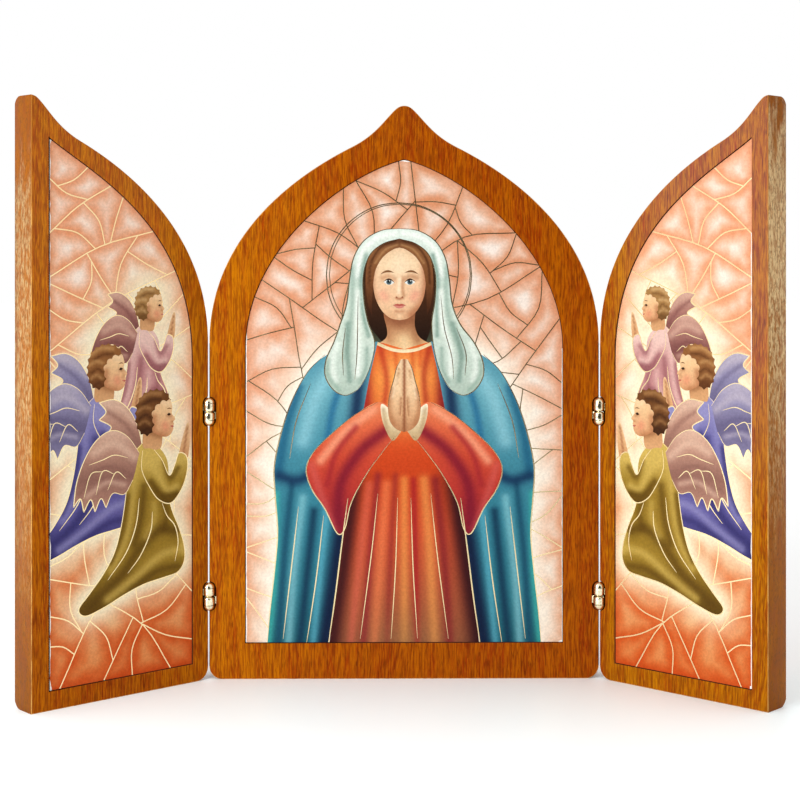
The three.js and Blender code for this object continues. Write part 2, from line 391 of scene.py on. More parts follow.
def depth_profile():
    """How far the outline and the cut edge step in at each depth, from front to back."""
    rows = []
    for i in range(ARRIS_STEPS + 1):
        a = math.radians(90 * i / ARRIS_STEPS)
        step = ARRIS * (1 - math.sin(a))
        rows.append((FRONT + ARRIS * (1 - math.cos(a)), step, step))
    back = FRONT + THICKNESS
    for i in range(ROUND_STEPS + 1):
        a = math.radians(90 * i / ROUND_STEPS)
        y = back - ROUND_OVER * (1 - math.sin(a))
        rows.append((y, ROUND_OVER * (1 - math.cos(a)), max(0.0, y - back + ARRIS)))
    return rows


def make_centre_board():
    rings = [(y, full_ring(inset)) for y, inset, _ in depth_profile()]
    cuts = [(sign * AXIS_X, height) for sign in SIDES.values() for height in HINGE_HEIGHTS.values()]
    piece = board_mesh("centre_board_veneered", rings, centre_recess(), cuts)
    settle(piece, UNTURNED)
    return piece


def make_wing_board(side):
    sign = SIDES[side]
    rings = [(y, half_ring(inset, cut)) for y, inset, cut in depth_profile()]
    recess = wing_recess()
    if sign > 0:
        rings = [(y, mirrored(ring)) for y, ring in rings]
        recess = mirrored(recess)
    cuts = [(-sign * AXIS_X, height) for height in HINGE_HEIGHTS.values()]
    piece = board_mesh(f"{side}_wing_veneered", rings, recess, cuts)
    settle(piece, wing_turn(sign))
    return piece


# ---- Hinges, drawn about their own axis ---------------------------------------------------------

def turned(bm, profile, facets=BARREL_FACETS):
    """A solid of revolution about the vertical axis from a closed [radius, height] profile."""
    loops = []
    for i in range(facets):
        a = 2 * math.pi * i / facets
        loops.append([bm.verts.new((r * math.cos(a), r * math.sin(a), z)) for r, z in profile])
    for i in range(facets):
        here, there = loops[i], loops[(i + 1) % facets]
        for k in range(len(profile) - 1):
            bm.faces.new((here[k], there[k], there[k + 1], here[k + 1])).smooth = True


def finish_turning(bm, name, place):
    bmesh.ops.remove_doubles(bm, verts=bm.verts, dist=10 * MERGE)
    bmesh.ops.dissolve_degenerate(bm, edges=bm.edges, dist=10 * MERGE)
    piece = finish_mesh(name, bm, HINGE_FINISH)
    piece.data.set_sharp_from_angle(angle=math.radians(SHARP_ANGLE))
    piece.data.transform(Matrix.Scale(MM, 4) @ place)
    return piece


def leaf_profile(meeting):
    """A knuckle's wall, closed around its bore; its rounder rim faces the other knuckle."""
    half, bore = KNUCKLE_LENGTH / 2, PIN_RADIUS + PIN_PLAY
    outer = []
    for side, ease in ((1, MEETING_EASE), (-1, OUTER_EASE)):
        rim = [(BARREL_RADIUS - ease * (1 - math.cos(a)), side * (half - ease * (1 - math.sin(a))))
               for a in np.linspace(0, math.pi / 2, 7)]
        outer += rim[::-side]
    wall = [(bore, half)] + outer + [(bore, -half), (bore, half)]
    return [(r, meeting * z) for r, z in wall]


def make_leaf(name, edge, meeting, place):
    bm = bmesh.new()
    turned(bm, leaf_profile(meeting))
    rear, half = BARREL_RADIUS - TONGUE_INSET, TONGUE_HEIGHT / 2
    inner = math.sqrt(BARREL_RADIUS**2 - (rear - TONGUE_THICKNESS) ** 2)
    low = (-edge * inner, rear - TONGUE_THICKNESS, -half)
    high = (-edge * TONGUE_REACH, rear, half)
    corners = [(x, y, z) for x in (low[0], high[0]) for y in (low[1], high[1]) for z in (low[2], high[2])]
    v = [bm.verts.new(c) for c in corners]
    for quad in ((0, 1, 3, 2), (4, 6, 7, 5), (0, 4, 5, 1), (2, 3, 7, 6), (0, 2, 6, 4), (1, 5, 7, 3)):
        bm.faces.new([v[i] for i in quad])
    return finish_turning(bm, name, place)


def make_pin(name, place):
    shank = KNUCKLE_LENGTH + 1.5 * SEAM
    head = [(BARREL_RADIUS * math.cos(a), shank + PIN_HEAD_HEIGHT * math.sin(a))
            for a in np.linspace(0, math.pi / 2, 10)]
    upper = [(PIN_RADIUS, shank)] + head
    profile = [(r, -z) for r, z in upper[::-1]] + upper
    bm = bmesh.new()
    turned(bm, profile)
    return finish_turning(bm, name, place)


# ---- Materials ----------------------------------------------------------------------------------

class Nodes:
    """Short ways to add nodes; an input is a number, a colour or another node's output."""

    def __init__(self, tree):
        self.tree = tree

    def plug(self, socket, value):
        if isinstance(value, bpy.types.NodeSocket):
            self.tree.links.new(value, socket)
        elif isinstance(value, tuple) and len(value) == 3 and socket.type == "RGBA":
            socket.default_value = (*value, 1)
        else:
            socket.default_value = value

    def node(self, kind, output, inputs=(), **settings):
        node = self.tree.nodes.new("ShaderNode" + kind)
        for key, value in settings.items():
            setattr(node, key, value)
        for key, value in dict(inputs).items():
            self.plug(node.inputs[key], value)
        return node.outputs[output]

    def attribute(self, name, output="Vector"):
        return self.node("Attribute", output, attribute_name=name)

    def axis(self, vector, letter):
        return self.node("SeparateXYZ", letter, {"Vector": vector})

    def math(self, operation, a, b=0.0, clamp=False):
        return self.node("Math", "Value", {0: a, 1: b}, operation=operation, use_clamp=clamp)

    def times(self, a, b):
        return self.math("MULTIPLY", a, b)

    def scaled(self, vector, x, y, z):
        """The vector in cells of the given sizes in millimetres."""
        cells = (1 / (x * MM), 1 / (y * MM), 1 / (z * MM))
        return self.node("VectorMath", "Vector", {0: vector, 1: cells}, operation="MULTIPLY")

    def noise(self, vector, x, y, z, detail=2.0):
        cells = self.scaled(vector, x, y, z)
        return self.node("TexNoise", "Fac", {"Vector": cells, "Scale": 1.0, "Detail": detail})

    def step(self, value, low, high, to_low=0.0, to_high=1.0):
        """A soft step; where low is above high, it falls."""
        ends = {"From Min": low, "From Max": high, "To Min": to_low, "To Max": to_high}
        return self.node("MapRange", "Result", {"Value": value, **ends}, interpolation_type="SMOOTHSTEP")

    def mix(self, share, a, b, blend="MIX"):
        node = self.tree.nodes.new("ShaderNodeMix")
        node.data_type = "RGBA"
        node.blend_type = blend
        for key, value in ((0, share), (6, a), (7, b)):
            self.plug(node.inputs[key], value)
        return node.outputs[2]

    def bump(self, height, strength, distance):
        inputs = {"Height": height, "Strength": strength, "Distance": distance * MM}
        return self.node("Bump", "Normal", inputs)


class Finish(Nodes):
    """A material around its one shader."""

    def __init__(self, name, rough=0.5, metal=0.0, gloss=0.5):
        self.material = bpy.data.materials.new(name)
        self.material.use_nodes = True
        super().__init__(self.material.node_tree)
        self.shader = self.tree.nodes["Principled BSDF"]
        for key, value in (("Roughness", rough), ("Metallic", metal), ("Specular IOR Level", gloss)):
            self.shader.inputs[key].default_value = value

    def finish(self, colour, rough=None, normal=None):
        for key, value in (("Base Color", colour), ("Roughness", rough), ("Normal", normal)):
            if value is not None:
                self.plug(self.shader.inputs[key], value)
        return self.material


def veneer():
    """Printed teak veneer: fine upright lines, short pores, yellow to red-brown drifts, painted shade and
    sheen.
    """
    f = Finish("teak_veneer", gloss=0.03)
    place = f.attribute("flat")
    sway = f.node("CombineXYZ", "Vector", {"X": f.times(f.noise(place, 26, 30, 40, 1.0), 3.5 * MM)})
    place = f.node("VectorMath", "Vector", {0: place, 1: sway}, operation="ADD")
    broad = f.step(f.noise(place, 6, 40, 55, 2.0), 0.36, 0.64)
    body = f.mix(broad, (0.345, 0.054, 0.0012), (0.445, 0.128, 0.0008))
    tone = f.step(f.noise(place, 1.5, 40, 14, 3.0), 0.34, 0.66)
    fine = f.step(f.noise(place, 0.65, 40, 6, 2.0), 0.36, 0.64)
    lines = f.step(f.noise(place, 0.75, 40, 11, 2.0), 0.47, 0.62)
    pores = f.step(f.noise(place, 0.45, 40, 4.5, 1.0), 0.57, 0.70)
    speck = f.step(f.noise(place, 0.45, 0.5, 0.8, 2.0), 0.45, 0.72)
    for mark, share, stain in (
        (tone, 0.50, (0.250, 0.044, 0.0015)),
        (fine, 0.58, (0.58, 0.195, 0.0015)),
        (lines, 0.56, (0.190, 0.032, 0.001)),
        (pores, 0.52, (0.105, 0.018, 0.001)),
        (speck, 0.14, (0.12, 0.03, 0.003)),
    ):
        body = f.mix(f.times(mark, share), body, stain)
    # Painted shade away from the key light on the left, partly also a drift in the wood's tone.
    across, height = f.axis(f.node("TexCoord", "Object"), "X"), f.axis(place, "Z")
    joint, beyond = AXIS_X * MM, 0.12
    on_left, on_right = f.step(across, -joint, -beyond), f.step(across, joint, beyond)
    # The boards darken and redden rightwards from the centre's left side; the right wing is lighter again.
    sheet = f.mix(f.step(across, -0.10, -0.01), (1.0, 1.0, 1.0), (0.80, 0.62, 0.8))
    sheet = f.mix(f.step(across, joint, joint + 4 * MM), sheet, (0.90, 1.0, 1.0))
    # The left wing darkens and reddens towards the bottom.
    sheet = f.mix(f.times(on_left, f.step(height, 0.13, 0.03)), sheet, (0.84, 0.72, 1.0))
    body = f.mix(1.0, body, sheet, "MULTIPLY")
    # Painted sheen towards the top of the wings, warm on the left and bluish on the right.
    body = f.mix(f.times(on_left, f.step(height, 0.10, 0.21)), body, (0.03, 0.017, 0.008), "ADD")
    body = f.mix(f.times(on_right, f.step(height, 0.07, 0.17)), body, (0.0, 0.012, 0.036), "ADD")
    return f.finish(body, f.step(tone, 0, 1, 0.34, 0.46), f.bump(f.math("SUBTRACT", fine, pores), 0.25, 0.05))


def banding():
    """Edge band and round-over: duller and mottled, with a painted pale sheen along the middle of the height.
    """
    f = Finish("edge_band", gloss=0.03)
    place = f.attribute("flat")
    height = f.axis(place, "Z")
    patch = f.step(f.noise(place, 4, 4, 15, 3.0), 0.32, 0.68)
    streak = f.step(f.noise(place, 0.8, 0.8, 14, 2.0), 0.35, 0.7)
    grain = f.step(f.noise(place, 1.3, 1.3, 3.6, 3.0), 0.36, 0.66)
    speck = f.step(f.noise(place, 0.8, 0.8, 1.3, 2.0), 0.48, 0.70)
    right = f.step(f.axis(f.node("TexCoord", "Object"), "X"), -0.05, 0.05)
    # Painted sheen along the middle of the height, ragged at its ends, broken by grain, higher and paler on
    # the right.
    ragged = f.math("ADD", height, f.times(patch, 26 * MM))
    upper = f.math("SUBTRACT", ragged, f.times(right, 22 * MM))
    lower = f.math("SUBTRACT", ragged, f.times(right, 30 * MM))
    sheen_zone = f.times(f.step(lower, 0.036, 0.154), f.step(upper, 0.250, 0.222))
    crown = f.times(right, f.step(height, 0.155, 0.20))
    least = f.math("ADD", 0.16, f.times(crown, 0.30))
    # The painted sheen's strength, thinned by the grain.
    worn = f.times(sheen_zone, f.math("ADD", least, f.times(grain, 0.82), clamp=True))
    body = f.mix(patch, (0.31, 0.076, 0.005), (0.37, 0.110, 0.008))
    body = f.mix(worn, body, f.mix(right, (0.50, 0.315, 0.140), (0.78, 0.54, 0.27)))
    body = f.mix(f.times(streak, 0.32), body, (0.23, 0.068, 0.007))
    body = f.mix(f.times(speck, 0.58), body, (0.16, 0.060, 0.012))
    return f.finish(body, f.step(patch, 0, 1, 0.3, 0.45), f.bump(f.math("ADD", streak, speck), 0.3, 0.06))


def bare_arris():
    """The thin worn line where two faces of veneer meet."""
    f = Finish("worn_arris", gloss=0.2)
    place = f.attribute("flat")
    wear = f.step(f.noise(place, 2, 2, 6, 3.0), 0.35, 0.65)
    body = f.mix(wear, (0.38, 0.14, 0.020), (0.62, 0.31, 0.07))
    body = f.mix(f.step(f.axis(place, "Z"), 0.208, 0.228), body, (0.40, 0.14, 0.012))
    return f.finish(body, normal=f.bump(wear, 0.2, 0.05))


def core_with_painted_shade():
    """Fibreboard core, dark in itself and darker still as painted shade, for slots, recesses and hinge gaps.
    """
    f = Finish("core_painted_shade", 0.8, gloss=0.1)
    grain = f.noise(f.attribute("flat"), 0.4, 0.4, 0.4, 3.0)
    return f.finish(f.mix(grain, (0.03, 0.008, 0.004), (0.09, 0.028, 0.012)), normal=f.bump(grain, 0.4, 0.08))


def print_paper():
    """The printed face: the drawing's colours, ink mottle, and a fine linen emboss."""
    f = Finish("printed_sheet", gloss=0.08)
    place = f.attribute("flat")
    ink = f.attribute("print", "Color")
    cloud = f.step(f.noise(place, 1.1, 1.1, 1.1, 4.0), 0.3, 0.7, 0.77, 0.90)
    speck = f.step(f.noise(place, 0.34, 0.34, 0.34, 1.0), 0.3, 0.7, 0.95, 1.04)
    tint = f.times(cloud, speck)
    grey = f.node("CombineColor", "Color", {"Red": tint, "Green": tint, "Blue": tint})
    inked = f.mix(1.0, ink, grey, "MULTIPLY")
    rows = {"Vector": f.scaled(place, 0.75, 0.75, 0.75), "Scale": 0.314, "Distortion": 0.6, "Detail": 1.0}
    rows = f.node("TexWave", "Fac", rows, wave_type="BANDS", bands_direction="Z")
    weave = f.math("ADD", rows, f.times(f.noise(place, 0.6, 0.6, 0.3, 2.0), 0.7))
    return f.finish(inked, f.step(cloud, 0.77, 0.90, 0.36, 0.46), f.bump(weave, 0.22, 0.05))


def gold_foil():
    """Stamped metallic lines."""
    f = Finish("stamped_foil", metal=1.0)
    wear = f.noise(f.attribute("flat"), 9, 9, 9, 2.0)
    return f.finish(f.mix(wear, (0.90, 0.66, 0.34), (0.98, 0.80, 0.46)), f.step(wear, 0.3, 0.7, 0.18, 0.24))


def sheet_edge():
    """Cut edge, back and chipped corners of the print."""
    f = Finish("raw_paper", 0.7, gloss=0.2)
    fibre = f.noise(f.attribute("flat"), 0.5, 0.5, 0.5, 3.0)
    return f.finish(f.mix(fibre, (0.80, 0.70, 0.62), (0.94, 0.90, 0.86)), normal=f.bump(fibre, 0.3, 0.04))


def polished_brass():
    """Bright brass with fine scuffs and a few tarnished spots."""
    f = Finish("polished_brass", metal=1.0)
    place = f.node("TexCoord", "Object")
    scuff = f.noise(place, 0.5, 0.5, 2.2, 3.0)
    spots = f.step(f.noise(place, 0.9, 0.9, 0.9, 3.0), 0.54, 0.70)
    body = f.mix(scuff, (0.90, 0.78, 0.50), (0.96, 0.89, 0.68))
    body = f.mix(f.times(spots, 0.6), body, (0.34, 0.25, 0.11))
    return f.finish(body, f.step(scuff, 0.3, 0.7, 0.06, 0.16), f.bump(scuff, 0.12, 0.04))


VENEER, BAND, BARE, PAINTED_SHADE_CORE = range(4)
BOARD_FINISHES = [veneer(), banding(), bare_arris(), core_with_painted_shade()]
SHEET_FINISHES = [print_paper(), gold_foil(), sheet_edge()]
HINGE_FINISH = polished_brass()


# ---- Drawing, in millimetres on the face of a sheet ---------------------------------------------

def knots(path):
    """Points from a path such as "0,149 15.6,149! 12,200"; a mark makes a corner, a knot given twice."""
    if not isinstance(path, str):
        return list(path)
    points = []
    for word in path.split():
        x, z = word.rstrip("!").split(",")
        points += [(float(x), float(z))] * (1 + word.endswith("!"))
    return points


def stops(blend):
    """Heights and colours from a blend such as "149:56604e 190:3a2418"."""
    if not isinstance(blend, str):
        return list(blend)
    return [(float(height), code) for height, code in (word.split(":") for word in blend.split())]


def spline(path, loop=False, steps=6):
    """A smooth curve through the knots of a path, broken at its corners."""
    line = np.array(knots(path), float)
    if loop:
        corner = next((i for i in range(len(line)) if (line[i] == line[i - 1]).all()), None)
        if corner is None:
            return catmull(np.vstack([line[-1], line, line[:2]]), steps)[:-1]
        line = np.vstack([np.roll(line, -corner, axis=0), line[corner]])
    breaks = [i for i in range(1, len(line)) if (line[i] == line[i - 1]).all()] + [len(line)]
    runs = []
    for start, end in zip([0] + breaks, breaks):
        run = line[start:end]
        if len(run) > 1:
            runs.append(catmull(np.vstack([2 * run[0] - run[1], run, 2 * run[-1] - run[-2]]), steps))
    line = np.vstack(runs)
    return line[:-1] if loop else line


def catmull(p, steps):
    t = np.linspace(0, 1, steps, endpoint=False)[:, None]
    out = []
    for a, b, c, d in zip(p, p[1:], p[2:], p[3:]):
        m0, m1 = (c - a) / 2, (d - b) / 2
        out.append((2 * t**3 - 3 * t**2 + 1) * b + (t**3 - 2 * t**2 + t) * m0
                   + (3 * t**2 - 2 * t**3) * c + (t**3 - t**2) * m1)
    return np.vstack(out + [p[-2]])


def flip(path):
    return [(-x, z) for x, z in knots(path)][::-1]


def both(path):
    """A closed outline from its right half, run from top to bottom."""
    return knots(path) + flip(path)


def oval(x, z, reach_x, reach_z, degrees):
    return [(x + reach_x * math.cos(a), z + reach_z * math.sin(a)) for a in np.radians(degrees)]


def resampled(line, step):
    """The same line with no stretch longer than a step."""
    runs = []
    for a, b in zip(line, line[1:]):
        count = max(1, math.ceil(np.linalg.norm(b - a) / step))
        runs.append(a + (b - a) * np.arange(count)[:, None] / count)
    return np.vstack(runs + [line[-1:]])


def distance(points, line):
    best = np.full(len(points), 1e9)
    for a, b in zip(line, line[1:]):
        ab = b - a
        t = np.clip(((points - a) @ ab) / max(ab @ ab, 1e-9), 0, 1)
        best = np.minimum(best, ((points - a - t[:, None] * ab) ** 2).sum(axis=1))
    return np.sqrt(best)


def ribbon(line, width, taper=False):
    """Outline of a line of some width."""
    line = np.array(line, float)
    ahead = np.gradient(line, axis=0)
    ahead /= np.maximum(np.linalg.norm(ahead, axis=1), 1e-9)[:, None]
    across = np.column_stack([-ahead[:, 1], ahead[:, 0]]) * width / 2
    if taper:
        across *= np.sqrt(np.sin(np.linspace(0.08, math.pi - 0.08, len(line))))[:, None]
    return np.vstack([line + across, (line - across)[::-1]])


def inside(points, ring):
    odd = np.zeros(len(points), bool)
    x, z = points[:, 0], points[:, 1]
    for (x0, z0), (x1, z1) in zip(ring, np.roll(ring, -1, axis=0)):
        if z0 == z1:
            continue
        crosses = (z0 > z) != (z1 > z)
        odd ^= crosses & (x < (x1 - x0) * (z - z0) / (z1 - z0) + x0)
    return odd


def colour(code):
    return np.array([int(code[i:i + 2], 16) for i in (0, 2, 4)]) / 255


def blended(points, heights, colours):
    """Colours at points, run between the colours given at some heights."""
    return np.column_stack([np.interp(points[:, 1], heights, channel) for channel in zip(*colours)])


def mottle(points, pitch, seed):
    """Smooth random values from 0 to 1 with the given pitch."""
    cell = points / pitch
    low = np.floor(cell).astype(int)
    t = cell - low
    t = t * t * (3 - 2 * t)
    def corner(dx, dz):
        n = (low[:, 0] + dx) * 73856093 ^ (low[:, 1] + dz) * 19349663 ^ seed * 83492791
        n = (n ^ (n >> 13)) * 1274126177
        return ((n ^ (n >> 16)) & 0xFFFF) / 65535
    a = corner(0, 0) * (1 - t[:, 0]) + corner(1, 0) * t[:, 0]
    b = corner(0, 1) * (1 - t[:, 0]) + corner(1, 1) * t[:, 0]
    return a * (1 - t[:, 1]) + b * t[:, 1]


class Area:
    """One painted area: an outline, a vertical blend of colours and soft strokes over it."""

    def __init__(self, outline, blend=(), strokes=(), kind="print"):
        self.outline = np.array(outline, float)
        self.blend = stops(blend)
        self.strokes = [(knots(line), *rest) for line, *rest in strokes]
        self.kind = kind

    def paint(self, points):
        heights = [h for h, _ in self.blend]
        result = blended(points, heights, [colour(c) for _, c in self.blend])
        for line, radius, code, strength in self.strokes:
            line = spline(line, steps=4) if len(line) > 1 else np.array([line[0], line[0]])
            share = strength * np.exp(-((distance(points, line) / radius) ** 2))
            result += share[:, None] * (colour(code) - result)
        return result


def gold(path, width=FOIL_WIDTH):
    return Area(ribbon(spline(path), width, True), kind="gold")


def printed(areas):
    return [area for area in areas if area.kind == "print"]


def settle_head(points):
    """Head and veil drawn smaller towards the neckline, with the head a little to the left."""
    x, z = points[:, 0], points[:, 1] - NECKLINE
    lean = np.clip(z / 16, 0, 1)
    lean = lean * lean * (3 - 2 * lean)
    return np.column_stack([0.92 * x - 2.2 * lean, NECKLINE + z * np.where(z > 0, 0.92, 0.74)])


def settle_hands(points):
    """Hands drawn smaller towards the wrists."""
    return np.column_stack([0.9 * points[:, 0], WRISTS + 0.87 * (points[:, 1] - WRISTS)])


def centre_figure():
    """A veiled woman with joined hands, full front."""
    areas = []

    def add(path, blend, *strokes):
        areas.append(Area(spline(path, True), blend, strokes))

    def settle_from(first, warp, size):
        """Moves the points of the areas made since the first."""
        for area in areas[first:]:
            area.outline = warp(area.outline)
            area.blend = [(warp(np.array([[0.0, h]]))[0, 1], c) for h, c in area.blend]
            area.strokes = [(warp(np.array(line, float)), radius * size, *rest)
                            for line, radius, *rest in area.strokes]

    def both_sides(path, blend, *strokes):
        add(path, blend, *strokes)
        add(flip(path), blend, *[(flip(line), *rest) for line, *rest in strokes])

    # Shade inside the veil, hair behind the face, neck and gown.
    add(both("0,203 12,200 18.4,188 18.2,172 16.6,158 15.6,149! 0,149"), "149:56604e 160:2f2a20 190:3a2418")
    add(both("0,203.5 9,202 15.5,194 17,183 16.8,172 15,161 11,153! 0,153"),
        "153:241812 168:3a2418 185:5c3620 203:4a2a1a")
    add(both("0,170 7.5,170 7,160 8.5,155 14,151.5! 0,146"), "146:e6bd8c 154:d9a878 164:a8704e",
        ("-8,168 0,163 8,168", 3.4, "8a5238", 0.75), ("-7,163 -7,154", 2.2, "a86f4c", 0.5),
        ("7,163 7,154", 2.6, "8f5a3c", 0.6), ("0,154 1,150", 3, "f4d4a4", 0.6))
    settle_from(0, settle_head, 0.92)
    add(both("0,149.5 11,152.5 16,151 18.5,143 19.5,128 20,112 22,98 26,78 30,50 34,16 34,10! 0,10"),
        "15:8a5238 40:ac5436 66:c85030 90:c2421f 112:d24a22 136:ec8038 150:dc5e2c",
        ("0,138 0,122", 11, "ffc06c", 0.7), ("-11,151 -8,136 -9,124", 1.5, "a82a20", 0.6),
        ("11.5,151 9,138 10,124", 1.6, "98241e", 0.6), ("-4,149 -3.4,139", 1.0, "c4401f", 0.5),
        ("3.6,149 4,137", 1.0, "c4401f", 0.5), ("7.4,150 7,142", 0.8, "c4401f", 0.4),
        ("-17.5,146 -17.5,120", 3, "8c1f26", 0.75), ("17.5,146 17.5,120", 3.2, "741a24", 0.8),
        ("-22.5,92 -26.5,60 -34,10", 4.2, "38161a", 0.9), ("22.5,92 27.5,58 35,10", 5.0, "30141a", 0.92),
        ("-12,92 -15,62 -19,10", 1.9, "86262c", 0.75), ("-16,88 -20,55 -25,10", 2.0, "d2604c", 0.6),
        ("-4,92 -6,60 -8,10", 1.5, "8a2a2a", 0.6), ("-8,88 -10.5,58 -14,10", 2.3, "e87a4c", 0.65),
        ("0,90 0,60 0,10", 2.1, "f2a050", 0.6), ("4.2,90 5,56 6,10", 1.5, "9c1f26", 0.75),
        ("9,90 11.5,58 14,10", 2.5, "eb9a50", 0.65), ("14,90 18,55 21,10", 2.2, "7c2228", 0.75),
        ("0,14", 16, "9a7048", 0.45))
    add("-12.5,153! -6,150.2 0,149.4 6,150.2 12.5,153! 12.5,151.4! 6,148.7 0,147.9 -6,148.7 -12.5,151.4!",
        "148:f6e2b8 153:dcbf8c")

    # Mantle: its two fronts from the shoulders over the elbows to the ground.
    mantle = knots("12,153! 24,151 35,147 44,139 51,126 56,111 59,96 58.5,82 57.5,66 59,48 61,30 62.5,10! "
                   "35,10! 31.5,36 28.5,60 25.5,82 22.5,102 18.5,122 15.5,138")
    both_sides(mantle, "10:1f5460 40:2d6f7e 75:34788a 105:47889a 130:62a0ae 150:508ea2",
        ("20,142 22,120 26,96", 3.2, "1a2c4a", 0.9), ("27,80 31,52 37,10", 3.8, "141f3a", 0.95),
        ("35,78 38,50 42,10", 1.8, "5cacc0", 0.7), ("41,76 44,48 48,10", 1.9, "15344c", 0.85),
        ("46,82 50,50 53,10", 2.1, "84c2cc", 0.7), ("51,88 54.5,55 57.5,10", 1.5, "1c4860", 0.8),
        ("58,84 58.5,50 62,10", 1.5, "3fa8a0", 0.85), ("31,143 40,128 46,108", 4.0, "90c8d4", 0.7),
        ("26,140 32,124 35,108", 1.8, "26628a", 0.75), ("48,132 54,112 57,94", 2.4, "205878", 0.75),
        ("38,96 48,90 57,92", 2.6, "152c4c", 0.8))

    # Sleeves with wide mouths, cuffs and joined hands.
    sleeve = knots("4,122! 12,125.5 22,120 32,112 41,103 44.5,95 42,86 36,77 30.5,66 27,68 24,80 17,93 "
                   "9,104 4,110!")
    both_sides(sleeve, "66:862430 84:b03630 100:c84832 114:da6542 125:e27c52",
        ("9,112 20,103 29,88 30,70", 3.0, "7a1c2e", 0.85), ("14,122 27,112 38,99", 2.2, "f4a07c", 0.8),
        ("22,114 31,102 35,88", 1.5, "96262f", 0.65), ("42,97 38,84 32,68", 1.8, "d2605a", 0.5))
    both_sides("1.5,112! 5.5,108 9.8,116.5 10.5,124.5 6.5,122 3,117", "108:b8956a 118:f0ddb4 124:fbf0d2",
        ("8,112 9.5,122", 1.2, "a8825c", 0.6))
    hands = len(areas)
    both_sides("0,150! 1.9,149.6 3.6,145.5 5.2,139 7.2,131.5 8.2,124 7.2,117.5 4,113.5 0,112!",
        "112:b47c56 122:e0ad80 136:eec498 150:f0cda4", ("6.8,134 7.8,124 5.5,116", 1.5, "a86c48", 0.7),
        ("0,150 0,112", 0.8, "8a5034", 0.9), ("2.6,145 3.9,135 4.4,126", 0.5, "a4683f", 0.6),
        ("3.3,140 5.8,130", 0.8, "f8deba", 0.6))
    both_sides("1.2,131 3,136.5 4.6,134.5 5.2,128 4.4,121 2.2,119.5 1.4,125", "120:d8a478 136:f2cda2",
        ("1.6,130 1.8,121", 0.7, "9c6240", 0.7))
    settle_from(hands, settle_hands, 0.88)

    # Face.
    face = len(areas)
    add(both("0,200 7,199 11.4,194.5 13,187 12.9,180.5 11.6,174 8.6,168.4 4.4,164.8 0,163.8"),
        "163:d9a37a 171:e9bd94 182:eec39b 192:f2cfa6 200:dcae84",
        ("12.6,192 13.2,181 11,172 6,166.4", 2.4, "ad6c4a", 0.8),
        ("-12.6,192 -13.2,181 -11.4,173", 1.6, "c08460", 0.6), ("-8.2,176.5 -7,175", 2.4, "e89a80", 0.6),
        ("8,176.5 7,175", 2.4, "e39078", 0.6), ("-8.4,184.6 -5.3,185.6 -2.4,184", 1.3, "bd8560", 0.65),
        ("8.4,184.6 5.3,185.6 2.4,184", 1.3, "b47c58", 0.7),
        ("1.7,185 1.5,179 2.2,176", 0.85, "bf8560", 0.75), ("0,184 -0.3,177.4", 0.9, "fbe2c0", 0.8),
        ("-1.6,174.7 0,174.3 1.6,174.7", 0.6, "a8684a", 0.85),
        ("-1.8,168.2 0,167.9 1.8,168.2", 0.7, "b87a58", 0.6), ("0,166 0,165", 1.3, "f4d2aa", 0.5),
        ("0,195 0,190", 5.5, "f9dfbc", 0.55))
    both_sides("2.5,182.3! 4.1,183.6 5.7,183.8 7.8,182.6! 6,181.4 4.2,181.3", "181:d8dcd8 184:eef0ea")
    both_sides(oval(5.2, 182.55, 1.3, 1.25, range(0, 360, 45)), "181:5f6f70 184:33424a")
    both_sides(oval(5.2, 182.8, 0.55, 0.58, range(0, 360, 60)), "181:10100f")
    for x in (-4.8, 5.6):
        add(oval(x, 183.2, 0.26, 0.26, range(0, 360, 60)), "181:fafaf4")
    both_sides("2.2,182.1! 4,184 5.8,184.3 8.3,182.7! 5.8,183.6 4.1,183.3", "182:40261a")
    both_sides("2.5,187.2! 5,188.4 7.3,188.1 9.6,186.3! 7.2,187.2 5,187.4", "186:7a5034 189:86593a")
    add("-3.5,171.1! -1,171.9 0,171.6 1,171.9 3.5,171.1! 1,170.8 0,170.7 -1,170.8", "170:a84a40 173:c0655a")
    add("-3,171! 0,170.7 3,171! 1.3,169.8 0,169.6 -1.3,169.8", "169:c87066 171:d98a7c")
    both_sides("0.9,175.1 1.5,175.5 1.9,175.1 1.4,174.8", "174:8a4c34")

    # Hair over the temples, then the veil.
    both_sides("0,204! 9,202 15,195 16.6,184 15.6,172 13.6,166! 13.4,174 12.9,182 11.6,189 8,195 3.2,198.6 "
        "0,199.6!", "166:3e2418 184:7a4c2e 198:8a5a38 204:5c3826",
        ("1,201 7,198.5 12,192", 0.6, "b98a5c", 0.6), ("2,203 9,200 14,192 15,182", 0.6, "3a2014", 0.6))
    veil = knots("0,209! 9,208 17.5,203 22.6,194.5 24.6,184 26,172 29.5,162 34.5,153 38.5,143 39,133 "
                 "35,124.5 29,121 23,124.5 19,132 16,142 14.4,153 15.8,163 17.6,174 17.8,186 14.6,196 "
                 "8,201.6 0,204!")
    both_sides(veil, "121:aebfb0 140:c3d2c4 165:d3dfd0 190:cfddd0 209:dbe6da",
        ("2,206.6 11,204.6 18.4,197 20.6,186", 1.5, "f3f7ee", 0.9),
        ("16.4,196 19,184 18.6,170 17,156", 1.1, "7f9a8c", 0.85),
        ("23.6,190 23,175 25,160 29,144", 1.5, "93ab9c", 0.75),
        ("20.6,178 20.8,164 22.6,150 23,134", 1.5, "f1f6ec", 0.85),
        ("26,162 28,148 27,130", 1.3, "789285", 0.8), ("33,152 35.5,141 34,130", 1.6, "eaf1e6", 0.8),
        ("18.4,150 18.8,138 22,129", 1.0, "8aa294", 0.7), ("37.5,142 37.6,133 32,124", 1.2, "8ea898", 0.7))
    settle_from(face, settle_head, 0.92)

    def foil(warp, *lines):
        for path, width in lines:
            for one in (path, flip(path)):
                areas.append(gold(warp(np.array(knots(one))), FOIL_SCALE * width))

